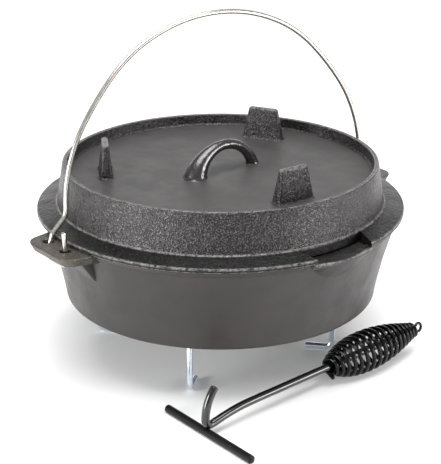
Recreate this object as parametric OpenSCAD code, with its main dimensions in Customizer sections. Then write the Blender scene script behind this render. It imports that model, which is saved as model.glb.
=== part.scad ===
// Camp dutch oven set: a flared cast iron pot, its deep pan lid with three feet,
// a wire bail, a folding wire stand and a lid lifter with a coil grip.
// Millimetres, +Z up. The origin is on the ground on the pot's axis; the ears lie on the X axis.

/* [Pot] */
// Outside radius of the pot's flat bottom
base_r = 161; // [150:0.5:165]
// Height of the pot's bottom above the ground, which is the stand's height
base_z = 64; // [60:0.5:80]
// Height of the pot from its bottom to its rim
pot_h = 91; // [80:0.5:100]
// Thickness of the pot's side wall
wall = 5; // [4:0.1:6]
// Thickness of the pot's floor
floor_t = 5.5; // [5:0.1:8]
// Direction of the pouring lip, in degrees from +X
lip_angle = 273; // [262:1:280]

/* [Ears] */
// Distance from the pot's axis to an ear's outer edge
ear_r = 212.5; // [210:0.5:218]
// Half width of an ear where it leaves the pot
ear_root = 41; // [38:0.5:46]
// Half width of an ear at its outer edge
ear_tip = 35.5; // [30:0.5:38]
// Thickness of an ear
ear_t = 9; // [7:0.1:9.5]
// Distance from the pot's axis to the bail holes
hole_x = 196.5; // [195:0.5:200]
// Half the distance between an ear's two holes
hole_y = 16.2; // [15.8:0.1:17]
// Radius of a bail hole
hole_r = 5.5; // [5:0.1:6]

/* [Lid] */
// Outside radius of the lid's flange
flange_r = 189; // [187:0.5:190]
// Radius at the foot of the lid's sloping side
lid_foot_r = 168.3; // [166:0.1:170]
// Radius at the top of the lid's rim
lid_top_r = 161.5; // [160:0.1:164]
// Height of the lid's rim above the flange
lid_h = 45.5; // [40:0.5:50]
// Depth of the lid's plate below its rim
plate_drop = 11.7; // [8:0.1:14]
// Distance from the lid's axis to its three feet
foot_r = 117.5; // [110:0.5:122]
// Height of the feet above the lid's plate
foot_h = 34; // [30:0.5:40]
// Radius of the loop handle's arch
loop_r = 40.5; // [38:0.5:42]
// Direction of the loop handle, in degrees from +X
loop_angle = 3; // [-5:1:5]

/* [Bail] */
// Diameter of the bail's wire
bail_d = 5; // [4:0.1:5.5]
// Height of the bow's crown above the ears
bow_h = 199.5; // [196:0.5:203]
// Angle by which the bail leans back towards +Y, in degrees
bail_lean = 4; // [0:1:8]

/* [Stand] */
// Diameter of the stand's wire
stand_d = 6.5; // [5:0.1:7]
// Distance from the stand's rivet to its legs
leg_r = 127; // [110:0.1:130]
// Length of the feet that turn inwards on the ground
foot_in = 28; // [20:0.5:36]
// Direction of the lower wire, in degrees from +X
stand_angle = 42.6; // [30:0.1:60]

/* [Lid lifter] */
// Diameter of the lifter's rod and of its crossbar
rod_d = 8; // [6:0.1:8]
// Length of the crossbar
crossbar_l = 130; // [110:1:150]
// Diameter of the grip's coiled wire
coil_d = 3.8; // [3:0.1:4]
// Number of turns in the grip
coil_turns = 17; // [12:1:19]
// Length of the coil along the rod
coil_l = 124; // [110:1:130]
// Outside radius of the coil at its belly
coil_belly = 21.3; // [16:0.1:21.4]

/* [Hidden] */

iron = "#3a3a3b";
wire_steel = "#b9b2a6";
zinc = "#c3ccd3";
black_paint = "#161617";

round_fn = 128;
small_fn = 48;

// Pot: the side leans out by side_slope and curves out more by side_curve towards the rim.
side_slope = 0.16;
side_curve = 0.00104;
base_corner = 4;
rim_z = base_z + pot_h;
rim_r = 184.5;
rim_h = 5;
side_steps = 6;
function side_r(h) = base_r + side_slope * h + side_curve * h * h;

// Pouring lip: a shelf in the rim, which is lower inside so that the lid's ridge turns over it.
lip_in_r = 163.5;
lip_out_r = 189.5;
lip_in_half = 42;
lip_out_half = 35.4;
lip_t = 4.5;
lip_web_h = 26;
lip_step = 1.8;
lip_reach = 18;
lip_step_r = [177, 181];
groove_r = 160;
groove_deep = 2;

// Lid: all heights are from the ground. Its underside stands seat_gap clear of the pot's rim.
seat_gap = 0.2;
flange_t = 5;
flange_z = rim_z + flange_t;
crease_z = flange_z + 4.6;
lid_rim_z = flange_z + lid_h;
plate_z = lid_rim_z - plate_drop;
plate_t = 4.5;
lid_rim_t = 4.5;
lid_wall = 4.8;
ridge_in_r = 172.5;
ridge_out_r = 176;
ridge_h = 1.5;
notch_in = 40;
notch_out = 34.6;
notch_gap = 0.2;
lid_foot_base = [44, 13.5];
lid_foot_tip = [32, 6];
loop_at = [1, -5];
loop_d = 10.4;
loop_top_z = plate_z + 32.5;
// how much each leg of the loop swells towards the plate, and the power that it swells by
loop_flares = [[1.6, 4], [7.4, 1.7]];

// Ears and the bail's hooks in them. The bail turns about the line through both ears' webs.
ear_corner = 16;
ear_turn = 1.1;
pivot_z = rim_z - ear_t / 2;
hook_y = 15.5;
hook_drop = 12.4;
hook_bend = 6;
hook_end_z = rim_z + 15.5;
// Half of the bail in its own plane, from its crown outwards: [length, turn in degrees] of each
// arc of the bow and of the kink above the hole.
bow_arcs = [[82, -27], [50, -19], [52, -10], [85.5, -32], [13, 44], [14.5, 0], [4, -40]];
// The bow is bent a little towards +X.
bow_shift = 2;
bow_turn = atan(hook_y / hole_x);

// Stand: the lower wire dips under the upper one, and a rivet holds their flattened middles.
stand_at = [-5, 4.5];
bar_z = base_z - stand_d / 2;
wire_bend = 8;
dip_far = 32;
dip_near = 20;
wire_gap = 0.3;
dip = stand_d + wire_gap;
pad_r = 8;
pad_t = 3;
wire_end = 6;
rivet_r = 2;
rivet_head_r = 4;
rivet_head_t = 1.5;
rivet_play = 0.05;

// Lid lifter: where its hook stands, and the direction that its rod runs in.
lifter_at = [-135, -163];
lifter_angle = 4.3;
crossbar_skew = -2.4;
prong_tip = [7.1, 47.5];
prong_heading = -130;
// The rod, from the prong's tip to its far end: [length, turn in degrees] of each stretch.
rod_arcs = [[32.6, 40], [11.7, 102], [15, 0], [36, -10.4], [226, 0]];
rod_tilt = 1.6;
crossbar_u = -2;
crossbar_shift = 2;
coil_start = 103;
coil_end_r = rod_d / 2 + coil_d / 2 + 0.4;
coil_from = -100;
coil_step = 30;
tail = 6;
eye_r = 4.4;
eye_tilt = 40;

// ---- Paths and swept wires ----

function unit(v) = v / norm(v);
function turned(a) = [cos(a), sin(a)];

// Points of a plane path that starts at p with heading a and follows [length, turn] stretches.
function stretch(p, a, length, turn, n, i = 0) =
    i == n ? [] :
    let (q = p + length / n * turned(a + turn / n / 2))
    concat([q], stretch(q, a + turn / n, length, turn, n, i + 1));
function arcs(p, a, list, i = 0) =
    i == len(list) ? [] :
    let (n = max(1, ceil(abs(list[i][1]) / 12)),
         run = stretch(p, a, list[i][0], list[i][1], n))
    concat(run, arcs(run[n - 1], a + list[i][1], list, i + 1));

function reversed(list) = [for (i = [len(list) - 1 : -1 : 0]) list[i]];
function tangent(path, i) = unit(path[min(i + 1, len(path) - 1)] - path[max(i - 1, 0)]);
// A side vector for each point, carried along the path without twist.
function carried(path, side, i = 0) =
    i == len(path) ? [] :
    let (t = tangent(path, i), s = unit(side - (side * t) * t))
    concat([s], carried(path, s, i + 1));

// A solid tube along a path; r is one radius or a list with one for each point.
module tube(path, r, sides = 10, side = [0, 0, 1]) {
    n = len(path);
    across = carried(path, side);
    rings = [for (i = [0 : n - 1])
        let (t = tangent(path, i), s = across[i], u = cross(t, s), ri = is_list(r) ? r[i] : r)
        for (k = [0 : sides - 1])
            let (w = 360 * k / sides) path[i] + ri * (cos(w) * s + sin(w) * u)];
    skin = [for (i = [0 : n - 2]) for (k = [0 : sides - 1])
        let (m = (k + 1) % sides, a = i * sides, b = a + sides)
        [a + k, b + k, b + m, a + m]];
    near = [for (k = [0 : sides - 1]) k];
    far = [for (k = [sides - 1 : -1 : 0]) (n - 1) * sides + k];
    polyhedron(points = rings, faces = concat(skin, [near, far]));
}

// A block that tapers from base to tip, both [x, y], over the height h.
module tapered_block(base, tip, h) {
    corners = [[-1, -1], [1, -1], [1, 1], [-1, 1]];
    low = [for (c = corners) [c[0] * base[0] / 2, c[1] * base[1] / 2, 0]];
    high = [for (c = corners) [c[0] * tip[0] / 2, c[1] * tip[1] / 2, h]];
    polyhedron(points = concat(low, high),
        faces = [[0, 1, 2, 3], [7, 6, 5, 4],
                 [4, 5, 1, 0], [5, 6, 2, 1], [6, 7, 3, 2], [7, 4, 0, 3]]);
}

// ---- Pot ----

module pot_outside() {
    corner = [for (a = [-90 : 22.5 : 0])
        [base_r - base_corner + base_corner * cos(a), base_z + base_corner + base_corner * sin(a)]];
    top_h = pot_h - rim_h - 1.5;
    side = [for (i = [1 : side_steps])
        let (h = base_corner + (top_h - base_corner) * i / side_steps) [side_r(h), base_z + h]];
    rotate_extrude($fn = round_fn)
        polygon(concat([[0, base_z]], corner, side,
            [[rim_r, rim_z - rim_h], [rim_r, rim_z], [0, rim_z]]));
}

module pot_cavity() {
    corner_h = floor_t + 5;
    side = [for (i = [0 : side_steps])
        let (h = corner_h + (pot_h - corner_h) * i / side_steps) [side_r(h) - wall, base_z + h]];
    rotate_extrude($fn = round_fn)
        polygon(concat([[0, base_z + floor_t], [side_r(floor_t) - wall - 4, base_z + floor_t]],
            side, [[side_r(pot_h) - wall, rim_z + 5], [0, rim_z + 5]]));
}

module ear() {
    arc_at = [ear_r - ear_corner, ear_tip - ear_corner];
    corner = [for (a = [90 : -15 : 0]) arc_at + ear_corner * turned(a)];
    half = concat([[hole_x - 30, ear_root + 2], [hole_x - 10, ear_root]], corner);
    outline = concat(half, [for (q = reversed(half)) [q[0], -q[1]]]);
    rotate([0, 0, ear_turn]) translate([0, 0, rim_z - ear_t]) linear_extrude(ear_t) polygon(outline);
    // a rib under the ear, short of the bail's hook
    translate([0, 26, 0]) rotate([90, 0, 0]) linear_extrude(52)
        polygon([[hole_x - 30, rim_z - 1], [hole_x - 5, rim_z - ear_t + 1],
                 [hole_x - 6.5, rim_z - ear_t - 1], [hole_x - 22, rim_z - 32],
                 [hole_x - 30, rim_z - 40]]);
}

// The shelf is a ring's sector, trimmed to the notch in the lid's flange above it.
module lip_shelf() intersection() {
    rotate([0, 0, lip_angle - lip_reach]) rotate_extrude(angle = 2 * lip_reach, $fn = round_fn)
        polygon([[lip_in_r, rim_z - lip_step], [lip_step_r[0], rim_z - lip_step],
                 [lip_step_r[1], rim_z], [lip_out_r, rim_z], [lip_out_r, rim_z - lip_t],
                 [side_r(pot_h - lip_web_h) - 1, rim_z - lip_web_h],
                 [side_r(pot_h - lip_web_h) - wall + 1, rim_z - lip_web_h],
                 [lip_in_r, rim_z - lip_t]]);
    rotate([0, 0, lip_angle]) translate([0, 0, rim_z - lip_web_h - 1]) linear_extrude(lip_web_h + 2)
        polygon([[lip_in_r - 5, -lip_in_half], [lip_out_r + 2, -lip_out_half],
                 [lip_out_r + 2, lip_out_half], [lip_in_r - 5, lip_in_half]]);
}

module lip_groove() {
    rotate([0, 0, lip_angle]) translate([lip_in_r - 1, 0, rim_z + groove_r - groove_deep])
        rotate([0, 90, 0]) cylinder(r = groove_r, h = lip_out_r - lip_in_r + 5, $fn = round_fn);
}

module ear_holes() {
    for (side = [-1, 1]) for (hand = [-1, 1])
        translate([side * hole_x, hand * hole_y, rim_z - ear_t - 1])
            cylinder(r = hole_r, h = ear_t + 2, $fn = small_fn);
}

module pot() color(iron) difference() {
    union() {
        difference() {
            union() {
                pot_outside();
                for (turn = [0, 180]) rotate([0, 0, turn]) ear();
            }
            pot_cavity();
        }
        lip_shelf();
    }
    ear_holes();
    lip_groove();
}

// ---- Lid ----

module lid_shell() {
    foot_in_r = lid_foot_r - lid_wall;
    slope = (lid_foot_r - lid_top_r) / (lid_rim_z - crease_z);
    seat_z = rim_z + seat_gap;
    rotate_extrude($fn = round_fn) polygon([
        [0, plate_z - plate_t],
        [foot_in_r - slope * (plate_z - plate_t - crease_z), plate_z - plate_t],
        [foot_in_r, crease_z], [foot_in_r, seat_z],
        [ridge_in_r, seat_z], [ridge_in_r, rim_z - ridge_h],
        [ridge_out_r, rim_z - ridge_h], [ridge_out_r, seat_z],
        [flange_r - 0.8, seat_z], [flange_r, seat_z + 0.8],
        [flange_r, flange_z - 1.2], [flange_r - 1.2, flange_z],
        [lid_foot_r, crease_z], [lid_top_r + 0.3, lid_rim_z - 0.8], [lid_top_r - 0.5, lid_rim_z],
        [lid_top_r - lid_rim_t + 0.5, lid_rim_z], [lid_top_r - lid_rim_t, lid_rim_z - 0.8],
        [lid_top_r - lid_rim_t - 0.8, plate_z], [0, plate_z]]);
}

module lid_notch() {
    reach = flange_r + 6;
    lean = (notch_in - notch_out) / (flange_r - lid_foot_r);
    half_at = notch_in - lean * (reach - lid_foot_r);
    back = lid_foot_r - 12;
    back_half = notch_in + lean * (lid_foot_r - back);
    rotate([0, 0, lip_angle]) translate([0, 0, rim_z - ridge_h - 1]) difference() {
        linear_extrude(crease_z - rim_z + ridge_h + 3)
            polygon([[back, -back_half], [reach, -half_at], [reach, half_at], [back, back_half]]);
        translate([0, 0, -1]) cylinder(r = lid_foot_r + notch_gap, h = 30, $fn = round_fn);
    }
}

module lid_loop() {
    arch_z = loop_top_z - loop_d / 2 - loop_r;
    low = asin((plate_z - 1 - arch_z) / loop_r);
    half = 10;
    // from the +X foot over the top to the -X foot; the legs swell towards the plate
    path = [for (i = [-half : half])
        let (a = 90 + (90 - low) * i / half)
        [loop_r * cos(a), 0, arch_z + loop_r * sin(a)]];
    swell = [for (i = [-half : half])
        let (flare = loop_flares[i < 0 ? 0 : 1])
        loop_d / 2 + flare[0] * pow(abs(i) / half, flare[1])];
    translate(loop_at) rotate([0, 0, loop_angle]) tube(path, swell, 12, [0, 1, 0]);
}

module lid_feet() {
    for (turn = [30, 150, 270])
        rotate([0, 0, turn]) translate([foot_r, 0, plate_z - 0.5]) rotate([0, 0, 90])
            tapered_block(lid_foot_base, lid_foot_tip, foot_h + 0.5);
}

module lid() color(iron) {
    difference() {
        lid_shell();
        lid_notch();
    }
    lid_feet();
    lid_loop();
}

// ---- Bail ----

// Half of the bow, which lies in the upright plane through one hole of each ear; side is 1 or -1.
function half_bow(side) = [for (q = arcs([0, rim_z + bow_h], 0, bow_arcs))
    let (r = side * q[0] + bow_shift) [r * cos(bow_turn), -r * sin(bow_turn), q[1]]];
// The hook: down through the first hole, under the web and up through the second hole.
function hook(side) =
    let (bottom = pivot_z - hook_drop + hook_bend,
         turn = arcs([-hook_y, bottom], -90,
             [[hook_bend * PI / 2, 90], [2 * (hook_y - hook_bend), 0], [hook_bend * PI / 2, 90]]))
    [for (q = concat([[-hook_y, pivot_z], [-hook_y, bottom]], turn, [[hook_y, hook_end_z]]))
        [side * hole_x, side * q[0], q[1]]];

module bail() color(wire_steel) {
    right = concat(half_bow(1), hook(1));
    left = reversed(concat(half_bow(-1), hook(-1)));
    crown = [[bow_shift * cos(bow_turn), -bow_shift * sin(bow_turn), rim_z + bow_h]];
    translate([0, 0, pivot_z]) rotate([-bail_lean, 0, 0]) translate([0, 0, -pivot_z])
        tube(concat(left, crown, right), bail_d / 2, 10, [0, 1, 0]);
}

// ---- Stand ----

// Half of a stand wire in its own plane, from the foot's end to the middle.
function stand_half(dips) =
    let (bend = [wire_bend * PI / 2, 90],
         up = bar_z - stand_d / 2 - 2 * wire_bend,
         over = leg_r - wire_bend - dip_far,
         start = [leg_r - foot_in, stand_d / 2],
         frame = arcs(start, 0, [[foot_in - wire_bend, 0], bend, [up, 0], bend, [over, 0]]),
         middle = dips ? [[dip_far - 2, bar_z - 0.4], [dip_near + 2, bar_z - dip + 0.4],
                          [dip_near, bar_z - dip], [wire_end, bar_z - dip]]
                       : [[wire_end, bar_z]])
    concat([start], frame, middle);

module stand_wire(dips) {
    pad_z = dips ? bar_z - dip : bar_z - pad_t;
    difference() {
        union() {
            for (turn = [0, 180]) rotate([0, 0, turn])
                tube([for (q = stand_half(dips)) [q[0], 0, q[1]]], stand_d / 2, 10, [0, 1, 0]);
            translate([0, 0, pad_z]) cylinder(r = pad_r, h = pad_t, $fn = small_fn);
        }
        translate([0, 0, pad_z - 1])
            cylinder(r = rivet_r + rivet_play, h = pad_t + 2, $fn = small_fn);
    }
}

module stand_lower_wire() color(zinc)
    translate(stand_at) rotate([0, 0, stand_angle]) stand_wire(true);

module stand_upper_wire() color(zinc)
    translate(stand_at) rotate([0, 0, stand_angle + 90]) stand_wire(false);

module stand_rivet() color(zinc) translate(stand_at) {
    low = bar_z - dip;
    top = bar_z + rivet_play * 2;
    translate([0, 0, low - rivet_head_t])
        cylinder(r = rivet_r, h = top - low + 2 * rivet_head_t, $fn = small_fn);
    translate([0, 0, low - rivet_head_t])
        cylinder(r = rivet_head_r, h = rivet_head_t, $fn = small_fn);
    translate([0, 0, top]) cylinder(r = rivet_head_r, h = rivet_head_t, $fn = small_fn);
}

// ---- Lid lifter ----

module place_lifter()
    translate([lifter_at[0], lifter_at[1], 0]) rotate([0, 0, lifter_angle]) children();

function rod_points() = concat([prong_tip], arcs(prong_tip, prong_heading, rod_arcs));
// A point at the distance s along the rod's last straight stretch.
function on_rod(s) =
    let (list = rod_points(), q = list[len(list) - 2]) q + s * turned(rod_tilt);
// A point at the distance s along the rod and the radius r from it, at the angle a around it.
function round_rod(s, r, a) =
    let (q = on_rod(s), up = r * sin(a)) [q[0] - up * sin(rod_tilt), r * cos(a), q[1] + up * cos(rod_tilt)];

module lifter_rod() color(black_paint) place_lifter()
    tube([for (q = rod_points()) [q[0], 0, q[1]]], rod_d / 2, 12, [0, 1, 0]);

module lifter_crossbar() color(black_paint) place_lifter()
    translate([crossbar_u, -crossbar_shift, rod_d / 2]) rotate([90, 0, crossbar_skew])
        cylinder(d = rod_d, h = crossbar_l, center = true, $fn = small_fn);

// Centre-line radius of the coil at the fraction f of its length: a spindle with its belly near 0.42.
function coil_r(f) =
    coil_end_r + (coil_belly - coil_d / 2 - coil_end_r) * pow(sin(180 * pow(f, 0.8)), 1.3);
// The turns lie closer together at both ends.
function coil_s(f) = coil_start + coil_l * (f - 0.06 * sin(360 * f) / PI * 2);

module lifter_coil_grip() color(black_paint) place_lifter() {
    steps = coil_turns * 360 / coil_step;
    turns = [for (i = [0 : steps])
        let (f = i / steps) round_rod(coil_s(f), coil_r(f), coil_from + coil_step * i)];
    last = coil_start + coil_l;
    first = [round_rod(coil_s(0), coil_end_r + tail, coil_from - 8)];
    eye = [for (i = [0 : 10])
        let (a = 140 - 28 * i)
        round_rod(last + 9 + eye_r * cos(a), eye_r * sin(a), coil_from)];
    tube(concat(first, turns), coil_d / 2, 6, [1, 0, 0]);
    tube(concat([round_rod(last - 1, coil_end_r, coil_from)], eye), coil_d / 2 - 0.4, 8,
        [0, cos(eye_tilt), sin(eye_tilt)]);
}

pot();
lid();
bail();
stand_lower_wire();
stand_upper_wire();
stand_rivet();
lifter_rod();
lifter_crossbar();
lifter_coil_grip();
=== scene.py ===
"""Camp dutch oven set: cast iron pot and lid, wire bail, folding stand and lid lifter.

Shapes are worked out in millimetres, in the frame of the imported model, and made in metres.
"""
import math

import bpy
from mathutils import Matrix, Vector


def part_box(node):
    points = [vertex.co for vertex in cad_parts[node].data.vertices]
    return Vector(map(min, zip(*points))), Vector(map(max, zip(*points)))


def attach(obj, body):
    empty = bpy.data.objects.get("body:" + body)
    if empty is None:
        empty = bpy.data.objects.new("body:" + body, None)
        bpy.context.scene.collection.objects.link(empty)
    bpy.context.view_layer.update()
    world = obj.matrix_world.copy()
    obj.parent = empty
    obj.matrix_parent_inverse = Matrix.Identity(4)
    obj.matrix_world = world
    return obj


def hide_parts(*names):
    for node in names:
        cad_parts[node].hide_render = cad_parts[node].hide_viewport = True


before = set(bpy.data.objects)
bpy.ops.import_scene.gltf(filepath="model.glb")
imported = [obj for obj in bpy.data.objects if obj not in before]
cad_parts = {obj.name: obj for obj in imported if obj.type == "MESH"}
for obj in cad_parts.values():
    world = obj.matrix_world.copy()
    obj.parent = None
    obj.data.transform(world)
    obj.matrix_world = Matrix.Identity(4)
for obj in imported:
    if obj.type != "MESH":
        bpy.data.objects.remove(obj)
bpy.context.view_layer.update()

MM = 0.001


def high(node, axis):
    """The highest coordinate of a CAD node along an axis, in millimetres."""
    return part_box(node)[1][axis] / MM


def low(node, axis):
    """The lowest coordinate of a CAD node along an axis, in millimetres."""
    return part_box(node)[0][axis] / MM


# ---- Sizes in millimetres: the driving ones come from the frame ----

RIM_Z = high("pot", 2)
BASE_Z = low("pot", 2)
EAR_R = high("pot", 0)
FLANGE_R = high("lid", 0)
LID_TOP_Z = high("lid", 2)

# Pot body; its outside radius is BASE_R + SIDE_SLOPE * h + SIDE_CURVE * h * h
POT_H = RIM_Z - BASE_Z
BASE_R = 161.0
SIDE_SLOPE = 0.16
SIDE_CURVE = 0.00104
POT_WALL = 5.0
POT_FLOOR = 5.5
RIM_R = 184.5
RIM_H = 5.0

# Ears, with the rib under each and the holes for the bail
EAR_T = 9.0
EAR_ROOT = 41.0
EAR_TIP = 35.5
EAR_CORNER = 16.0
EAR_TURN = 1.1
RIB_HALF = 26.0
HOLE_X = 196.5
EAR_ROOT_X = HOLE_X - 30
HOLE_Y = 16.2
HOLE_R = 5.5

# Pouring lip, with the web under it and the groove along it; angles are about Z from +X
LIP_ANGLE = 273.0
LIP_IN_HALF = 42.0
LIP_OUT_HALF = 35.4
LIP_REACH = 18.0
LIP_IN_R = 163.5
LIP_OUT_R = 189.5
LIP_T = 4.5
LIP_STEP = 1.8
LIP_STEP_R = (177.0, 181.0)
LIP_WEB_H = 26.0
LIP_END_H = 6.5
LIP_WEB_TURN = 11.5
GROOVE_R = 160.0
GROOVE_DEEP = 2.0
GROOVE_SPREAD = 30

# Lid: flange, cone, sunk plate, notch over the lip, feet and loop handle
SEAT_Z = RIM_Z + 0.2
FLANGE_Z = RIM_Z + 5.0
CREASE_Z = FLANGE_Z + 4.6
LID_FOOT_R = 168.3
LID_TOP_R = 161.5
LID_RIM_Z = FLANGE_Z + 45.5
LID_RIM_T = 4.5
LID_WALL = 4.8
PLATE_Z = LID_RIM_Z - 11.7
PLATE_T = 4.5
PLATE_RINGS = (110.0, 60.0)
RIDGE_R = (172.5, 176.0)
RIDGE_H = 1.5
NOTCH_IN = 40.0
NOTCH_OUT = 34.6
FOOT_R = 117.5
FOOT_BASE = (44.0, 13.5)
FOOT_TIP = (32.0, 6.0)
FOOT_TURNS = (30, 150, 270)
LOOP_AT = (1.0, -5.0)
LOOP_TURN = 3.0
LOOP_R = 40.5
LOOP_D = 10.4
LOOP_TOP_Z = PLATE_Z + 32.5
LOOP_AREA = (62.0, 22.0)

# Bail: the bow's half as (length, turn) arcs from its crown, and the hooks through the ears
BAIL_D = 5.0
BAIL_LEAN = 4.0
PIVOT_Z = RIM_Z - EAR_T / 2
BOW_H = 199.5
BOW_ARCS = ((82, -27), (50, -19), (52, -10), (85.5, -32), (13, 44), (14.5, 0), (4, -40))
BOW_SHIFT = 2.0
HOOK_Y = 15.5
HOOK_DROP = 12.4
HOOK_BEND = 6.0
HOOK_END_Z = RIM_Z + 15.5

# Stand: two crossing wires; the lower one dips under the upper one, and a rivet joins their pads
STAND_D = 6.5
STAND_AT = (-5.0, 4.5)
STAND_TURN = 42.6
LEG_R = 127.0
FOOT_IN = 28.0
WIRE_BEND = 8.0
POT_CLEARANCE = 0.05
BAR_Z = BASE_Z - STAND_D / 2 - POT_CLEARANCE
DIP = STAND_D + 0.3
DIP_FAR = 32.0
DIP_NEAR = 20.0
PAD_T = 3.0
PAD_HALF_W = 7.2
PAD_LENGTH = 9.0
RIVET_R = 4.0
SHANK_R = 2.0
RIVET_H = 1.5

# Lid lifter: the rod as (length, turn) arcs from the prong's tip, the crossbar and the wire grip
ROD_D = 8.0
LIFTER_AT = (-135.0, -163.0)
LIFTER_TURN = 4.3
PRONG_TIP = (7.1, 47.5)
PRONG_HEADING = -130.0
ROD_LAST = 226.0
ROD_ARCS = ((32.6, 40), (11.7, 102), (15, 0), (36, -10.4), (ROD_LAST, 0))
ROD_TILT = 1.6
CROSSBAR_U = -2.0
CROSSBAR_SHIFT = 2.0
CROSSBAR_SKEW = -2.4
CROSSBAR_L = 130.0
CROSSBAR_ROUND = 1.6
COIL_D = 3.8
COIL_TURNS = 17
COIL_START = 103.0
COIL_L = 124.0
COIL_BELLY = 21.3
COIL_END_R = ROD_D / 2 + COIL_D / 2 + 0.4
COIL_PAINT = 0.25
COIL_FROM = -100.0
EYE_R = 4.4
EYE_TILT = 40.0
EYE_AWAY = 9.0

# Meshes: segments of the castings, the angle that stays sharp, and the roundness of a wire's end
ROUND = 224
SHARP_ANGLE = 38
CAP_STEPS = 5
CAP_TURN = 86


# ---- Plane outlines and paths ----


def heading(degrees):
    """The unit vector in a direction of the plane."""
    return Vector((math.cos(math.radians(degrees)), math.sin(math.radians(degrees))))


def path_of(start, angle, stretches, step=3.0):
    """Points from start along arcs of (length, turn in degrees), with a point every few degrees."""
    points = [Vector(start)]
    for length, turn in stretches:
        count = max(2, math.ceil(abs(turn) / step))
        for _ in range(count):
            points.append(points[-1] + heading(angle + turn / count / 2) * (length / count))
            angle += turn / count
    return points


def rounded(corners, steps=5, closed=False):
    """An outline through (x, y, radius) corners, with each corner rounded to its radius."""
    points = []
    count = len(corners)
    for i, (x, y, radius) in enumerate(corners):
        here = Vector((x, y))
        if radius == 0 or (not closed and i in (0, count - 1)):
            points.append(here)
            continue
        before = (Vector(corners[i - 1][:2]) - here).normalized()
        after = (Vector(corners[(i + 1) % count][:2]) - here).normalized()
        half = before.angle(after) / 2
        centre = here + (before + after).normalized() * (radius / math.sin(half))
        first = here + before * (radius / math.tan(half)) - centre
        last = here + after * (radius / math.tan(half)) - centre
        spread = first.angle(last)
        for k in range(steps + 1):
            t = k / steps
            mix = (math.sin((1 - t) * spread) * first + math.sin(t * spread) * last) / math.sin(spread)
            points.append(centre + mix)
    return points


def inset(outline, distance):
    """A closed counter-clockwise outline moved inwards by a distance."""
    moved = []
    for i, here in enumerate(outline):
        along = outline[(i + 1) % len(outline)] - outline[i - 1]
        inwards = Vector((-along.y, along.x)).normalized()
        moved.append(here + inwards * distance)
    return moved


def side_r(h):
    """Outside radius of the pot at the height h above its bottom."""
    return BASE_R + SIDE_SLOPE * h + SIDE_CURVE * h * h


def smooth_step(x):
    """0 up to 0, 1 from 1, and a smooth rise between."""
    x = min(max(x, 0.0), 1.0)
    return x * x * (3 - 2 * x)


# ---- Meshes ----


def placed(x, y, z=0.0, turn=0.0):
    """A turn about Z in degrees, and then a move to a place in millimetres."""
    return Matrix.Translation((x * MM, y * MM, z * MM)) @ Matrix.Rotation(math.radians(turn), 4, "Z")


def turned(degrees):
    """A turn about Z."""
    return placed(0, 0, turn=degrees)


def new_object(name, verts, faces):
    """An object from points in millimetres."""
    mesh = bpy.data.meshes.new(name)
    mesh.from_pydata([tuple(c * MM for c in v) for v in verts], [], faces)
    mesh.validate()
    obj = bpy.data.objects.new(name, mesh)
    bpy.context.scene.collection.objects.link(obj)
    return obj


def stacked(name, rings, place=None):
    """A closed solid through rings of points of equal number, with flat ends."""
    count = len(rings[0])
    verts = [tuple(p) for ring in rings for p in ring]
    faces = [tuple(reversed(range(count))), tuple(range((len(rings) - 1) * count, len(rings) * count))]
    for i in range(len(rings) - 1):
        for k in range(count):
            a, b = i * count + k, i * count + (k + 1) % count
            faces.append((a, b, b + count, a + count))
    obj = new_object(name, verts, faces)
    if place:
        obj.data.transform(place)
    return obj


def lathe(name, profile, segments=ROUND, place=None):
    """A solid of revolution about Z; the outline starts and ends on the axis."""
    verts = [(0, 0, profile[0][1]), (0, 0, profile[-1][1])]
    inner = profile[1:-1]
    for k in range(segments):
        d = heading(360 * k / segments)
        verts += [(r * d.x, r * d.y, z) for r, z in inner]
    n = len(inner)
    faces = []
    for k in range(segments):
        a, b = 2 + k * n, 2 + (k + 1) % segments * n
        faces.append((0, b, a))
        faces += [(a + i, b + i, b + i + 1, a + i + 1) for i in range(n - 1)]
        faces.append((1, a + n - 1, b + n - 1))
    obj = new_object(name, verts, faces)
    if place:
        obj.data.transform(place)
    return obj


def sector(name, profile, middle, half, steps):
    """A solid about Z; profile gives its outline of (radius, height) points at a turn from the middle."""
    rings = []
    for k in range(steps + 1):
        turn = -half + 2 * half * k / steps
        d = heading(middle + turn)
        rings.append([(r * d.x, r * d.y, z) for r, z in profile(turn)])
    return stacked(name, rings)


def tangents(path):
    """The direction of a path at each of its points."""
    last = len(path) - 1
    return [(path[min(i + 1, last)] - path[max(i - 1, 0)]).normalized() for i in range(last + 1)]


def sweep_rings(path, radii, sides, side, directions):
    """Rings round a path; each radius is a pair: towards side and square to it."""
    rings = []
    across = Vector(side)
    for point, along, (wide, tall) in zip(path, directions, radii):
        across = (across - along * across.dot(along)).normalized()
        up = along.cross(across)
        ring = []
        for k in range(sides):
            d = heading(360 * k / sides)
            ring.append(point + across * (wide * d.x) + up * (tall * d.y))
        rings.append(ring)
    return rings


def wire_end(point, outwards, radius, end_round):
    """The places and radii that round off an end of a wire, over a length of end_round radii."""
    places, radii = [], []
    for k in range(1, CAP_STEPS + 1):
        angle = math.radians(CAP_TURN * k / CAP_STEPS)
        places.append(point + outwards * (math.sin(angle) * end_round * min(radius)))
        radii.append((radius[0] * math.cos(angle), radius[1] * math.cos(angle)))
    return places, radii


def wire(name, path, radii, sides, side, end_round, place):
    """A swept wire with rounded ends; radii are pairs as in sweep_rings."""
    ways = tangents(path)
    head, head_radii = wire_end(path[0], -ways[0], radii[0], end_round)
    tail, tail_radii = wire_end(path[-1], ways[-1], radii[-1], end_round)
    rings = sweep_rings(head[::-1] + path + tail, head_radii[::-1] + radii + tail_radii, sides, side,
                        [ways[0]] * CAP_STEPS + ways + [ways[-1]] * CAP_STEPS)
    return stacked(name, rings, place)


def round_wire(name, path, radius, sides, side, end_round, place):
    """A wire with the same round section all along."""
    return wire(name, path, [(radius, radius)] * len(path), sides, side, end_round, place)


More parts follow.
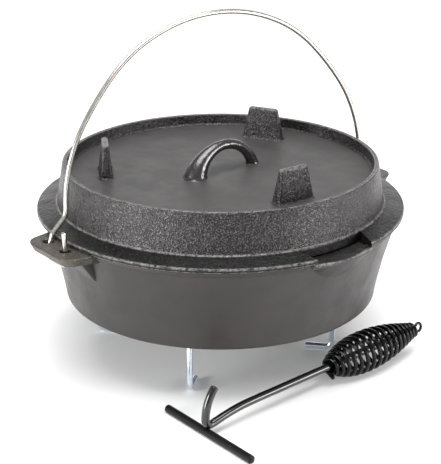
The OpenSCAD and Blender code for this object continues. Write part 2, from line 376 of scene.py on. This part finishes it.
def apply_modifiers(obj):
    """Replaces an object's mesh by what its modifiers make of it."""
    bpy.context.view_layer.update()
    graph = bpy.context.evaluated_depsgraph_get()
    result = bpy.data.meshes.new_from_object(obj.evaluated_get(graph))
    obj.modifiers.clear()
    obj.data = result


def combine(target, other, operation):
    """Boolean of target with other, left in target; other is deleted."""
    modifier = target.modifiers.new("combine", "BOOLEAN")
    modifier.operation = operation
    modifier.solver = "EXACT"
    modifier.object = other
    apply_modifiers(target)
    bpy.data.objects.remove(other)


def bevel(obj, width, segments, angle):
    """Rounds the edges of a solid that are sharper than an angle by a width in millimetres."""
    modifier = obj.modifiers.new("round", "BEVEL")
    modifier.width = width * MM
    modifier.segments = segments
    modifier.limit_method = "ANGLE"
    modifier.angle_limit = math.radians(angle)
    apply_modifiers(obj)


def finish_piece(obj, body, node, materials, pick=None):
    """Shades, paints and places a piece that stands for a CAD node."""
    obj.data.shade_smooth()
    obj.data.set_sharp_from_angle(angle=math.radians(SHARP_ANGLE))
    weighted = obj.modifiers.new("normals", "WEIGHTED_NORMAL")
    weighted.keep_sharp = True
    obj.data.materials.clear()
    for material in materials:
        obj.data.materials.append(material)
    if pick:
        for face in obj.data.polygons:
            face.material_index = pick(face)
    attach(obj, body)
    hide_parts(node)


# ---- Materials ----


class Shader:
    """A material's node tree with short ways to add nodes."""

    def __init__(self, name, **values):
        self.material = bpy.data.materials.new(name)
        self.material.use_nodes = True
        self.tree = self.material.node_tree
        self.surface = self.tree.nodes["Principled BSDF"]
        for key, value in values.items():
            self.surface.inputs[key.replace("_", " ")].default_value = value
        self.place = self.add("ShaderNodeTexCoord").outputs["Object"]

    def add(self, kind, inputs=None, **settings):
        """A node with settings; each input is a socket to link or a number to set."""
        node = self.tree.nodes.new(kind)
        for key, value in settings.items():
            setattr(node, key, value)
        for key, value in (inputs or {}).items():
            if isinstance(value, bpy.types.NodeSocket):
                self.tree.links.new(value, node.inputs[key])
            else:
                node.inputs[key].default_value = value
        return node

    def maths(self, operation, *values):
        """A sum, product or other operation on sockets and numbers."""
        node = self.add("ShaderNodeMath", dict(enumerate(values)), operation=operation)
        return node.outputs[0]

    def stretched(self, scale):
        """The place on the object with each axis multiplied."""
        return self.add("ShaderNodeMapping", {"Vector": self.place, "Scale": scale}).outputs[0]

    def noise(self, scale, detail=3.0, roughness=0.55, at=None):
        """Noise from 0 to 1, on the object or on another place."""
        node = self.add(
            "ShaderNodeTexNoise",
            {"Vector": at or self.place, "Scale": scale, "Detail": detail, "Roughness": roughness},
        )
        return node.outputs["Fac"]

    def between(self, value, low_in, high_in, low_out=0.0, high_out=1.0):
        """A smooth step from low_out to high_out while the value goes from low_in to high_in."""
        node = self.add(
            "ShaderNodeMapRange",
            {0: value, 1: low_in, 2: high_in, 3: low_out, 4: high_out},
            interpolation_type="SMOOTHSTEP",
        )
        return node.outputs[0]

    def blend(self, factor, first, second):
        """A mix of two colours."""
        node = self.add("ShaderNodeMix", {0: factor, 6: first, 7: second}, data_type="RGBA")
        return node.outputs[2]

    def hypotenuse(self, first, second):
        """The length of the long side of a right-angled triangle."""
        squares = [self.maths("POWER", side, 2.0) for side in (first, second)]
        return self.maths("SQRT", self.maths("ADD", *squares))

    def near_circles(self, circles):
        """1 close to circles of (radius, height, width) about the object's Z axis, 0 away from them."""
        parts = self.add("ShaderNodeSeparateXYZ", {0: self.place}).outputs
        radius = self.hypotenuse(parts[0], parts[1])
        total = 0.0
        for r, z, width in circles:
            out = self.maths("SUBTRACT", radius, r * MM)
            up = self.maths("SUBTRACT", parts[2], z * MM)
            close = self.between(self.hypotenuse(out, up), 0.0, width * MM, 1.0, 0.0)
            total = self.maths("MAXIMUM", total, close)
        return total

    def near_height(self, z, width):
        """1 close to a height in millimetres, 0 further than the width from it."""
        height = self.add("ShaderNodeSeparateXYZ", {0: self.place}).outputs[2]
        gap = self.maths("ABSOLUTE", self.maths("SUBTRACT", height, z * MM))
        return self.between(gap, 0.0, width * MM, 1.0, 0.0)

    def bump(self, *layers):
        """Bump from (height, depth in millimetres) layers."""
        normal = None
        for height, depth in layers:
            inputs = {"Height": height, "Distance": depth * MM, "Strength": 1.0}
            if normal:
                inputs["Normal"] = normal
            normal = self.add("ShaderNodeBump", inputs).outputs[0]
        self.tree.links.new(normal, self.surface.inputs["Normal"])

    def set(self, name, value):
        """Links a socket to an input of the surface."""
        self.tree.links.new(value, self.surface.inputs[name])


def grey(value, warmth=0.0):
    """A grey with a little red added and blue taken away."""
    return (value * (1 + warmth), value, value * (1 - warmth), 1.0)


# The light grey of worn iron, also used for painted highlights
WORN_AND_HIGHLIGHT_IRON = grey(0.22, 0.01)
SCUFFED_PAINT = grey(0.12, 0.03)


def iron(name, dark, light, rough, grain, grain_size, wear=(), warmth=0.02, streaks=None, speckle=0.0,
         glint=0.3, sheen=(1.0, 0.96, 0.97, 1.0), shine=0.5, tip_highlight=None):
    """Seasoned cast iron: sand-cast grain, blotches, worn bright edges, glinting metal specks and a painted
    highlight band.
    """
    s = Shader(name, IOR=1.6, Specular_IOR_Level=shine, Specular_Tint=sheen)
    blotch = s.between(s.noise(26, 4.0), 0.3, 0.72)
    fine = s.noise(grain_size, 2.0, 0.6)
    coarse = s.noise(grain_size * 0.35, 3.0, 0.5)
    colour = s.blend(blotch, grey(dark, warmth), grey(light, warmth * 1.6))
    if streaks:
        lines = s.between(s.noise(60, 4.0, 0.6, s.stretched(streaks)), 0.42, 0.72)
        colour = s.blend(s.maths("MULTIPLY", lines, 0.4), colour, grey(light * 1.5, warmth))
    if speckle:
        patches = s.between(s.noise(40, 2.0), 0.2, 0.6, 0.6)
        specks = s.maths("MULTIPLY", s.between(fine, 0.48, 0.66), patches)
        specks = s.maths("MULTIPLY", specks, speckle)
        colour = s.blend(specks, colour, grey(glint, 0.03))
        s.set("Metallic", specks)
    if wear:
        edges = s.near_circles(wear)
        # A painted highlight: a lighter band at one height, in the colour of the worn edges
        if tip_highlight:
            edges = s.maths("MAXIMUM", edges, s.maths("MULTIPLY", s.near_height(*tip_highlight), 0.8))
        rubbed_and_highlight = s.maths("MULTIPLY", edges, s.between(s.noise(260, 3.0, 0.8), 0.36, 0.6))
        colour = s.blend(s.maths("MULTIPLY", rubbed_and_highlight, 0.7), colour, WORN_AND_HIGHLIGHT_IRON)
    s.set("Base Color", colour)
    s.set("Roughness", s.between(s.noise(44, 3.0), 0.25, 0.75, rough - 0.07, rough + 0.08))
    s.bump((coarse, grain * 1.6), (fine, grain))
    return s.material


def metal(name, colour, dull, rough, marks_size, depth):
    """Plated or drawn steel wire with faint blotches and fine marks."""
    s = Shader(name, Metallic=1.0)
    patches = s.between(s.noise(70, 4.0, 0.6), 0.35, 0.7)
    marks = s.noise(marks_size, 3.0, 0.6)
    s.set("Base Color", s.blend(patches, colour, dull))
    s.set("Roughness", s.between(marks, 0.3, 0.7, rough - 0.04, rough + 0.05))
    s.bump((marks, depth))
    return s.material


def paint(name, value, rough, coat, orange_peel, chips=0.25, shine=0.4):
    """Black enamel with orange peel, a coat and a few scuffs."""
    s = Shader(name, Metallic=0.0, Coat_Weight=coat, Coat_Roughness=rough * 0.6, Specular_IOR_Level=shine)
    scuffs = s.maths("MULTIPLY", s.between(s.noise(240, 4.0, 0.7), 0.64, 0.74), chips)
    s.set("Base Color", s.blend(scuffs, grey(value), SCUFFED_PAINT))
    s.set("Roughness", s.between(s.noise(90, 3.0), 0.3, 0.7, rough - 0.05, rough + 0.1))
    s.bump((s.noise(420, 2.0), orange_peel))
    return s.material


# Circles of (radius, height, width) where the lid is lighter: the black coat worn off the rim's and
# flange's edges, and a broken lighter line along the crease at the cone's foot
RUBBED_RIM = ((LID_TOP_R - 0.6, LID_RIM_Z, 1.3), (LID_TOP_R - LID_RIM_T + 0.8, LID_RIM_Z, 1.0))
PALE_FLANGE_LINES = ((LID_FOOT_R, CREASE_Z, 2.4), (FLANGE_R, FLANGE_Z - 0.8, 2.2), (FLANGE_R, RIM_Z + 0.8, 0.8))

POT_SIDE = iron("pot_side_iron", 0.006, 0.011, 0.42, 0.09, 620, wear=((RIM_R, RIM_Z, 1.6),), warmth=0.08,
                sheen=(1.0, 0.93, 0.94, 1.0), shine=0.4)
EAR_IRON = iron("pot_ear_iron", 0.008, 0.024, 0.46, 0.4, 620, warmth=0.14, speckle=0.3,
                sheen=(1.0, 0.9, 0.78, 1.0))
LIP_IRON = iron("pot_lip_iron", 0.003, 0.006, 0.34, 0.5, 600, wear=((LIP_OUT_R, RIM_Z - 1, 3.0),),
                speckle=0.4, glint=0.12, shine=0.4)
# The band near the lid's top height is a painted highlight along the feet's top edges
CONE_IRON = iron("lid_side_iron", 0.001, 0.002, 0.3, 0.72, 760, wear=RUBBED_RIM + PALE_FLANGE_LINES[:1],
                 speckle=0.9, glint=0.13, sheen=(1.0, 0.94, 1.0, 1.0), shine=0.3,
                 tip_highlight=(LID_TOP_Z - 0.8, 2.2))
# The plate's base colour is much lighter than the rest of the lid: partly its own matte grey, partly
# painted light standing in for the top light it reflects
PLATE_IRON = iron("lid_plate_iron", 0.026, 0.029, 0.52, 0.03, 700, streaks=(1.0, 0.3, 1.0))
FLANGE_IRON = iron("lid_flange_iron", 0.001, 0.003, 0.34, 0.4, 600, wear=PALE_FLANGE_LINES, speckle=0.3,
                   glint=0.1, shine=0.16)
LOOP_IRON = iron("lid_loop_iron", 0.001, 0.004, 0.22, 0.2, 520, speckle=0.12, glint=0.14, shine=0.8)
BAIL_STEEL = metal("bail_bright_steel", (0.54, 0.51, 0.47, 1), (0.48, 0.45, 0.41, 1), 0.26, 90, 0.001)
ZINC = metal("stand_bright_zinc", (0.8, 0.86, 0.92, 1), (0.6, 0.68, 0.76, 1), 0.15, 260, 0.004)
ROD_BLACK = paint("lifter_satin_black", 0.003, 0.16, 0.4, 0.03, shine=0.5)
BAR_BLACK = paint("crossbar_matte_black", 0.003, 0.42, 0.0, 0.09, 0.5, shine=0.2)
COIL_BLACK = paint("coil_gloss_black", 0.001, 0.1, 0.0, 0.015, 0.03, shine=0.26)


# ---- Pot ----


def ear_outline():
    """The outline of the ear on the +X side, counter-clockwise."""
    half = [(EAR_R, EAR_TIP, EAR_CORNER), (HOLE_X - 10, EAR_ROOT, 30), (EAR_ROOT_X, EAR_ROOT + 2, 0)]
    lower = [(x, -y, r) for x, y, r in reversed(half)]
    return rounded(half + lower, steps=8, closed=True)


def make_ear(turn):
    """A flat ear with drafted sides and soft edges, and the rib under it."""
    outline = ear_outline()
    layers = [(EAR_T, 5.0), (EAR_T - 0.2, 4.1), (EAR_T - 0.9, 3.4), (EAR_T - 2.2, 2.7),
              (1.6, 0.2), (0.9, 0.0), (0.4, 0.2), (0.1, 0.6), (0.0, 1.1)]
    rings = [[(p.x, p.y, RIM_Z - drop) for p in inset(outline, distance)] for drop, distance in layers]
    place = turned(turn + EAR_TURN)
    ear = stacked("ear", rings, place)
    rib_side = rounded([(EAR_ROOT_X, RIM_Z - 1, 0), (EAR_ROOT_X, RIM_Z - 40, 0),
                        (HOLE_X - 22, RIM_Z - 32, 6), (HOLE_X - 6.5, RIM_Z - EAR_T - 1, 5),
                        (HOLE_X - 5, RIM_Z - EAR_T + 1, 0)])
    ends = [(RIB_HALF, 1.6), (RIB_HALF - 0.6, 0.4), (RIB_HALF - 2, 0)]
    ends = [(-y, narrow) for y, narrow in ends] + ends[::-1]
    rings = [[(x - narrow, y, z + narrow) for x, z in rib_side] for y, narrow in ends]
    combine(ear, stacked("rib", rings, place), "UNION")
    return ear


def lip_profile(turn):
    """The lip's section at a turn from its middle; its web runs out towards both ends."""
    web_h = LIP_END_H + (LIP_WEB_H - LIP_END_H) * max(0, 1 - (turn / LIP_WEB_TURN) ** 2)
    web_r = side_r(POT_H - web_h)
    return rounded([(LIP_IN_R, RIM_Z - LIP_T, 0.8), (web_r - POT_WALL + 1, RIM_Z - web_h, 0),
                    (web_r - 1, RIM_Z - web_h, 0), (LIP_OUT_R, RIM_Z - LIP_T, 1.2),
                    (LIP_OUT_R, RIM_Z, 1.2), (LIP_STEP_R[1], RIM_Z, 1.2),
                    (LIP_STEP_R[0], RIM_Z - LIP_STEP, 1.2),
                    (LIP_IN_R, RIM_Z - LIP_STEP, 0.8)], closed=True)


def make_lip():
    """The pouring lip, cut off at both sides where the lid's notch ends."""
    lip = sector("lip", lip_profile, LIP_ANGLE, LIP_REACH, 36)
    plan = [(LIP_IN_R - 5, -LIP_IN_HALF), (LIP_OUT_R + 2, -LIP_OUT_HALF),
            (LIP_OUT_R + 2, LIP_OUT_HALF), (LIP_IN_R - 5, LIP_IN_HALF)]
    rings = [[(x, y, z) for x, y in plan] for z in (RIM_Z - LIP_WEB_H - 1, RIM_Z + 2)]
    combine(lip, stacked("wedge", rings, turned(LIP_ANGLE)), "INTERSECT")
    bevel(lip, 0.8, 2, 40)
    return lip


def groove_cutter():
    """The shallow round channel along the middle of the pouring lip."""
    rings = []
    for x in (LIP_IN_R - 1, LIP_OUT_R + 4):
        arc = [GROOVE_R * heading(a) for a in range(-GROOVE_SPREAD, GROOVE_SPREAD + 1)]
        rings.append([(x, q.y, RIM_Z + GROOVE_R - GROOVE_DEEP - q.x) for q in arc])
    return stacked("groove", rings, turned(LIP_ANGLE))


def make_pot():
    """The pot: a lathed outside with ears, hollowed out, and then the lip and the ears' holes."""
    heights = [POT_H - RIM_H - 6 - i * 4.0 for i in reversed(range(19))]
    outside = [(side_r(h), BASE_Z + h, 0) for h in heights]
    pot = lathe("pot_casting", rounded(
        [(0, BASE_Z, 0), (BASE_R + 0.2, BASE_Z, 4.5)] + outside
        + [(side_r(POT_H - RIM_H - 1.5), RIM_Z - RIM_H - 1.5, 1.2), (RIM_R, RIM_Z - RIM_H, 1.2),
           (RIM_R, RIM_Z, 1.1), (0, RIM_Z, 0)]))
    for turn in (0, 180):
        combine(pot, make_ear(turn), "UNION")
    inside = [(side_r(h) - POT_WALL, BASE_Z + h, 0) for h in heights if h > 16]
    mouth_r = side_r(POT_H) - POT_WALL
    cavity = lathe("cavity", rounded(
        [(0, BASE_Z + POT_FLOOR, 0), (side_r(POT_FLOOR) - POT_WALL, BASE_Z + POT_FLOOR, 9)] + inside
        + [(mouth_r - 0.3, RIM_Z - 1.4, 1.5), (mouth_r + 1.1, RIM_Z, 0),
           (mouth_r + 1.1, RIM_Z + 5, 0), (0, RIM_Z + 5, 0)]))
    combine(pot, cavity, "DIFFERENCE")
    combine(pot, make_lip(), "UNION")
    combine(pot, groove_cutter(), "DIFFERENCE")
    for hand_x in (-1, 1):
        for hand_y in (-1, 1):
            combine(pot, hole_cutter(hand_x * HOLE_X, hand_y * HOLE_Y), "DIFFERENCE")
    return pot


def hole_cutter(x, y):
    """A bore through an ear with both of its edges rounded."""
    out = [(0.0, 2.2), (0.15, 1.0), (0.6, 0.3), (1.3, 0.0)]
    profile = [(0, RIM_Z - EAR_T - 3), (HOLE_R + 2.2, RIM_Z - EAR_T - 3)]
    profile += [(HOLE_R + more, RIM_Z - EAR_T + drop) for drop, more in out]
    profile += [(HOLE_R + more, RIM_Z - drop) for drop, more in reversed(out)]
    profile += [(HOLE_R + 2.2, RIM_Z + 3), (0, RIM_Z + 3)]
    return lathe("hole", profile, 40, placed(x, y))


def pot_face(face):
    """The number of a face's material on the pot: 0 for the side, 1 for an ear and 2 for the lip."""
    x, y, z = (c / MM for c in face.center)
    r = math.hypot(x, y)
    if r > RIM_R + 0.1 and abs(y) < EAR_ROOT + 3 and z > RIM_Z - EAR_T - 1:
        return 1
    if abs(math.degrees(math.atan2(y, x)) % 360 - LIP_ANGLE) < LIP_REACH and z > RIM_Z - LIP_T - 1:
        return 2
    return 0


# ---- Lid ----


def rounded_box(half_x, half_y, corner):
    """A rectangle with rounded corners about the origin, counter-clockwise."""
    return rounded([(-half_x, -half_y, corner), (half_x, -half_y, corner),
                    (half_x, half_y, corner), (-half_x, half_y, corner)], steps=4, closed=True)


def make_lid_foot(turn):
    """A tapered foot with a fillet at the plate and soft edges, a little crowned on top."""
    height = LID_TOP_Z - PLATE_Z
    fillet = [(-1.5, 1.7), (0.0, 1.6), (0.4, 0.8), (1.0, 0.3), (2.2, 0.0)]
    middle = [(height * f, 0.0) for f in (0.3, 0.55, 0.8)]
    crown = [(height - 1.9, 0.0), (height - 1.1, -0.3), (height - 0.45, -0.85), (height - 0.1, -1.6),
             (height, -2.4)]
    layers = []
    for h, grow in fillet + middle + crown:
        f = h / height
        half = [(FOOT_BASE[k] + (FOOT_TIP[k] - FOOT_BASE[k]) * f) / 2 + grow for k in (0, 1)]
        corner = min(2.4 + max(grow, 0), min(half) - 0.1)
        layers.append([(p.x, p.y, PLATE_Z + h) for p in rounded_box(half[0], half[1], corner)])
    return stacked("foot", layers, turned(turn) @ placed(FOOT_R, 0, turn=90))


def make_loop():
    """The arched handle; both legs swell and turn straight down into the plate."""
    arch_z = LOOP_TOP_Z - LOOP_D / 2 - LOOP_R
    lowest = math.degrees(math.asin((PLATE_Z - 1.2 - arch_z) / LOOP_R))
    path, radii, ways = [], [], []
    steps = 40
    for i in range(-steps, steps + 1):
        t = abs(i) / steps
        angle = math.radians(90 + (90 - lowest) * i / steps)
        path.append(Vector((LOOP_R * math.cos(angle), 0, arch_z + LOOP_R * math.sin(angle))))
        along = Vector((-math.sin(angle), 0, math.cos(angle)))
        down = Vector((0, 0, -1 if i > 0 else 1))
        ways.append(along.lerp(down, smooth_step((t - 0.72) / 0.28)).normalized())
        swell = 7.4 * t ** 1.7 if i > 0 else 1.6 * t ** 4
        foot = 1.1 * smooth_step((t - 0.92) / 0.08) ** 2
        radii.append((LOOP_D / 2 + swell + foot, LOOP_D / 2 + swell + foot))
    rings = sweep_rings(path, radii, 36, (0, 1, 0), ways)
    return stacked("loop", rings, placed(*LOOP_AT, turn=LOOP_TURN))


def notch_cutter():
    """The gap in the lid's flange above the pouring lip."""
    lean = (NOTCH_IN - NOTCH_OUT) / (FLANGE_R - LID_FOOT_R)
    reach = FLANGE_R + 6
    gap_r = LID_FOOT_R + 0.2
    half_at = NOTCH_IN - lean * (reach - LID_FOOT_R)
    edge = math.degrees(math.asin((NOTCH_IN + 0.4) / gap_r))
    outline = [Vector((reach, -half_at)), Vector((reach, half_at))]
    outline += [gap_r * heading(edge * (1 - k / 12)) for k in range(25)]
    rings = [[(p.x, p.y, z) for p in outline] for z in (RIM_Z - 4, CREASE_Z + 2)]
    return stacked("notch", rings, turned(LIP_ANGLE))


def make_lid():
    """The lid: a lathed casting with the notch cut out and the feet and the loop added."""
    slope = (LID_FOOT_R - LID_TOP_R) / (LID_RIM_Z - CREASE_Z)
    foot_in = LID_FOOT_R - LID_WALL
    under_z = PLATE_Z - PLATE_T
    under = [(0, under_z, 0), (foot_in - slope * (under_z - CREASE_Z), under_z, 4), (foot_in, CREASE_Z, 8),
             (foot_in, SEAT_Z, 1), (RIDGE_R[0], SEAT_Z, 0.4), (RIDGE_R[0], RIM_Z - RIDGE_H, 0.4),
             (RIDGE_R[1], RIM_Z - RIDGE_H, 0.4), (RIDGE_R[1], SEAT_Z, 0.4), (FLANGE_R, SEAT_Z, 1.1),
             (FLANGE_R, FLANGE_Z, 1.5)]
    top = [(LID_FOOT_R, CREASE_Z, 2.4), (LID_TOP_R + 0.3, LID_RIM_Z, 1.5),
           (LID_TOP_R - LID_RIM_T, LID_RIM_Z, 1.4), (LID_TOP_R - LID_RIM_T - 0.8, PLATE_Z, 2.6),
           *((r, PLATE_Z, 0) for r in PLATE_RINGS), (0, PLATE_Z, 0)]
    lid = lathe("lid_casting", rounded(under + top))
    combine(lid, notch_cutter(), "DIFFERENCE")
    for turn in FOOT_TURNS:
        combine(lid, make_lid_foot(turn), "UNION")
    combine(lid, make_loop(), "UNION")
    return lid


def lid_face(face):
    """The number of a face's material: 0 for side and feet, 1 for plate, 2 for flange, 3 for loop."""
    x, y, z = (c / MM for c in face.center)
    r = math.hypot(x, y)
    if z < CREASE_Z + 0.3:
        return 2
    if abs(z - PLATE_Z) < 0.05 and face.normal.z > 0.99 and r < LID_TOP_R - LID_RIM_T - 3:
        return 1
    if z > PLATE_Z - 0.3 and abs(x - LOOP_AT[0]) < LOOP_AREA[0] and abs(y - LOOP_AT[1]) < LOOP_AREA[1]:
        return 3
    return 0


# ---- Bail ----


def half_bow(side):
    """Half of the bow from its crown outwards; both halves lie in one plane through a hole of each ear."""
    turn = math.atan(HOOK_Y / HOLE_X)
    points = []
    for q in path_of((0, RIM_Z + BOW_H), 0, BOW_ARCS):
        r = side * q.x + BOW_SHIFT
        points.append(Vector((r * math.cos(turn), -r * math.sin(turn), q.y)))
    return points


def hook(side):
    """Down through the first hole, under the web and up through the second hole."""
    bottom = PIVOT_Z - HOOK_DROP + HOOK_BEND
    quarter = (HOOK_BEND * math.pi / 2, 90)
    turn = path_of((-HOOK_Y, bottom), -90, (quarter, (2 * (HOOK_Y - HOOK_BEND), 0), quarter), 10)
    plane = [Vector((-HOOK_Y, PIVOT_Z)), *turn]
    rise = HOOK_END_Z - turn[-1].y
    plane += [Vector((HOOK_Y, turn[-1].y + rise * k / 8)) for k in range(1, 9)]
    return [Vector((side * HOLE_X, side * q.x, q.y)) for q in plane]


def make_bail():
    """The bow with a hook at each end; the two ends of the wire are pressed wider."""
    right = half_bow(1) + hook(1)
    left = list(reversed(half_bow(-1)[1:] + hook(-1)))
    path = left + right
    radii = []
    for i in range(len(path)):
        from_end = min(i, len(path) - 1 - i)
        spread = smooth_step((3 - from_end) / 3)
        radii.append((BAIL_D / 2 + 0.9 * spread, BAIL_D / 2 - 0.1 * spread))
    lean = Matrix.Rotation(math.radians(-BAIL_LEAN), 4, "X")
    lean = placed(0, 0, PIVOT_Z) @ lean @ placed(0, 0, -PIVOT_Z)
    return wire("bail_wire", path, radii, 20, (0, 1, 0), 0.7, lean)


# ---- Stand ----


def make_stand_wire(name, dips, turn):
    """A bent wire with two legs and feet; its middle is flattened for the rivet."""
    up = BAR_Z - STAND_D / 2 - 2 * WIRE_BEND
    start = (LEG_R - FOOT_IN, STAND_D / 2)
    bend = (WIRE_BEND * math.pi / 2, 90)
    over = LEG_R - WIRE_BEND - DIP_FAR
    half = path_of(start, 0, ((FOOT_IN - WIRE_BEND, 0), bend, (up, 0), bend, (over, 0)), 8)
    steps = 16
    drop = DIP if dips else 0.0
    settle = PAD_T / 2 if dips else -PAD_T / 2
    for k in range(1, steps + 1):
        x = DIP_FAR * (1 - k / steps)
        z = BAR_Z - drop * smooth_step((DIP_FAR - x) / (DIP_FAR - DIP_NEAR))
        z += settle * smooth_step((PAD_LENGTH + 6 - x) / 6)
        half.append(Vector((x, z)))
    radii = []
    for q in half:
        flat = smooth_step((PAD_LENGTH + 6 - q.x) / 6) if q.y > BAR_Z - DIP - 2 else 0
        radii.append((STAND_D / 2 + (PAD_HALF_W - STAND_D / 2) * flat,
                      STAND_D / 2 + (PAD_T / 2 - STAND_D / 2) * flat))
    path = [Vector((q.x, 0, q.y)) for q in half] + [Vector((-q.x, 0, q.y)) for q in reversed(half[:-1])]
    return wire(name, path, radii + radii[-2::-1], 24, (0, 1, 0), 0.35, placed(*STAND_AT, turn=turn))


def make_rivet():
    """A shank with a domed head at each end."""
    bottom, top = BAR_Z - DIP, BAR_Z + 0.1
    dome = [(RIVET_R, 0.0), (RIVET_R - 0.1, 0.5), (RIVET_R - 0.7, 1.0), (RIVET_R - 1.8, 1.35)]
    profile = [(0, bottom - RIVET_H)] + [(r, bottom - h) for r, h in reversed(dome)]
    profile += [(SHANK_R, bottom), (SHANK_R, top)] + [(r, top + h) for r, h in dome] + [(0, top + RIVET_H)]
    return lathe("stand_rivet_pin", profile, 36, placed(*STAND_AT))


# ---- Lid lifter ----

LIFTER_PLACE = placed(*LIFTER_AT, turn=LIFTER_TURN)
ROD_PATH = path_of(PRONG_TIP, PRONG_HEADING, ROD_ARCS)


def round_rod(s, r, angle):
    """A point at the distance s along the rod's last stretch and r from it, at an angle round it."""
    q = ROD_PATH[-1] + heading(ROD_TILT) * (s - ROD_LAST)
    a, tilt = math.radians(angle), math.radians(ROD_TILT)
    return Vector((q.x - r * math.sin(a) * math.sin(tilt), r * math.cos(a),
                   q.y + r * math.sin(a) * math.cos(tilt)))


def make_rod():
    """The rod with its prong, bends and straight stretch, which lies in an upright plane."""
    path = [Vector((q.x, 0, q.y)) for q in ROD_PATH]
    return round_wire("lifter_rod_bar", path, ROD_D / 2, 32, (0, 1, 0), 0.5, LIFTER_PLACE)


def make_crossbar():
    """The straight bar across the rod's prong end, with rounded ends."""
    half = CROSSBAR_L / 2 - CROSSBAR_ROUND
    path = [Vector((0, half - 2 * half * k / 20, 0)) for k in range(21)]
    place = LIFTER_PLACE @ placed(CROSSBAR_U, -CROSSBAR_SHIFT, ROD_D / 2, CROSSBAR_SKEW)
    return round_wire("lifter_cross_bar", path, ROD_D / 2, 32, (0, 0, 1), 0.4, place)


def make_coil():
    """A wire wound into a spindle round the rod, with a short tail where it starts."""
    step = 12
    count = COIL_TURNS * 360 // step
    turns = []
    for i in range(count + 1):
        f = i / count
        swell = math.sin(math.pi * f ** 0.8) ** 1.3 if 0 < f < 1 else 0.0
        r = COIL_END_R + (COIL_BELLY - COIL_D / 2 - COIL_END_R) * swell
        s = COIL_START + COIL_L * (f - 0.12 * math.sin(2 * math.pi * f) / math.pi)
        turns.append(round_rod(s, r, COIL_FROM + step * i))
    tail = []
    for k in range(5):
        left = 1 - k / 5
        tail.append(round_rod(COIL_START - 0.5 * left, COIL_END_R + 6 * left ** 1.5, COIL_FROM - 30 * left))
    radius = COIL_D / 2 + COIL_PAINT
    return round_wire("lifter_coil", tail + turns, radius, 12, (1, 0, 0), 0.5, LIFTER_PLACE)


def make_eye():
    """The ring that the grip's wire ends in."""
    last = COIL_START + COIL_L
    path = [round_rod(last - 1, COIL_END_R, COIL_FROM), round_rod(last + 1.5, COIL_END_R - 1, COIL_FROM)]
    for i in range(41):
        a = math.radians(140 - 7 * i)
        path.append(round_rod(last + EYE_AWAY + EYE_R * math.cos(a), EYE_R * math.sin(a), COIL_FROM))
    side = (0, math.cos(math.radians(EYE_TILT)), math.sin(math.radians(EYE_TILT)))
    return round_wire("lifter_coil_eye", path, COIL_D / 2 - 0.4, 12, side, 0.6, LIFTER_PLACE)


# ---- Pieces on their bodies ----

finish_piece(make_pot(), "pot", "pot", [POT_SIDE, EAR_IRON, LIP_IRON], pot_face)
finish_piece(make_lid(), "lid", "lid",
             [CONE_IRON, PLATE_IRON, FLANGE_IRON, LOOP_IRON], lid_face)
finish_piece(make_bail(), "bail", "bail", [BAIL_STEEL])
finish_piece(make_stand_wire("stand_wire_low", True, STAND_TURN), "stand", "stand_lower_wire",
             [ZINC])
finish_piece(make_stand_wire("stand_wire_high", False, STAND_TURN + 90), "stand_arm",
             "stand_upper_wire", [ZINC])
finish_piece(make_rivet(), "stand", "stand_rivet", [ZINC])
finish_piece(make_rod(), "lifter", "lifter_rod", [ROD_BLACK])
finish_piece(make_crossbar(), "lifter", "lifter_crossbar", [BAR_BLACK])
coil = make_coil()
combine(coil, make_eye(), "UNION")
finish_piece(coil, "lifter", "lifter_coil_grip", [COIL_BLACK])


# ---- Floor, light and camera ----

FLOOR_HALF = 6.0
CAMERA_AT = (-0.8750, -1.1782, 0.6880)
CAMERA_AZIMUTH = -36.6
CAMERA_ELEVATION = 21.01
CAMERA_LENS = 116.8


def make_floor():
    """A plain white floor, a little uneven in tone."""
    half = FLOOR_HALF / MM
    floor = new_object("floor", [(-half, -half, 0), (half, -half, 0), (half, half, 0), (-half, half, 0)],
                       [(0, 1, 2, 3)])
    s = Shader("white_floor", Roughness=0.6, Specular_IOR_Level=0.2)
    s.set("Base Color", s.blend(s.noise(2.0), (0.9, 0.9, 0.9, 1), (0.92, 0.92, 0.92, 1)))
    floor.data.materials.append(s.material)


def soft_light(name, place, aim, size, power):
    """A white soft box of (width, height) at a place, pointing at another."""
    light = bpy.data.lights.new(name, "AREA")
    light.shape = "RECTANGLE"
    light.size, light.size_y = size
    light.energy = power
    obj = bpy.data.objects.new(name, light)
    obj.location = place
    obj.rotation_euler = (Vector(aim) - Vector(place)).to_track_quat("-Z", "Y").to_euler()
    bpy.context.scene.collection.objects.link(obj)


def make_light():
    """A white studio with four soft boxes; the two at the sides make the lid's side shine."""
    world = bpy.data.worlds.new("studio")
    world.use_nodes = True
    background = world.node_tree.nodes["Background"]
    background.inputs["Color"].default_value = (1, 1, 1, 1)
    background.inputs["Strength"].default_value = 0.55
    bpy.context.scene.world = world
    middle = (0, 0, 0.12)
    soft_light("top_box", (-0.2, -0.4, 2.2), (-0.2, -0.4, 0), (2.0, 1.8), 77)
    soft_light("backdrop", (1.9, 3.2, 0.7), middle, (4.6, 1.3), 26)
    soft_light("left_box", (-2.1, 0.1, 0.45), middle, (0.9, 0.9), 44)
    soft_light("right_box", (1.2, -1.65, 0.45), middle, (0.8, 0.7), 23)


def make_camera():
    """The camera that looks like the photograph's."""
    camera = bpy.data.cameras.new("camera")
    camera.lens = CAMERA_LENS
    obj = bpy.data.objects.new("camera", camera)
    obj.location = CAMERA_AT
    obj.rotation_euler = (math.radians(90 - CAMERA_ELEVATION), 0, math.radians(CAMERA_AZIMUTH))
    bpy.context.scene.collection.objects.link(obj)
    bpy.context.scene.camera = obj


make_floor()
make_light()
make_camera()
bpy.context.scene.view_settings.view_transform = "Standard"
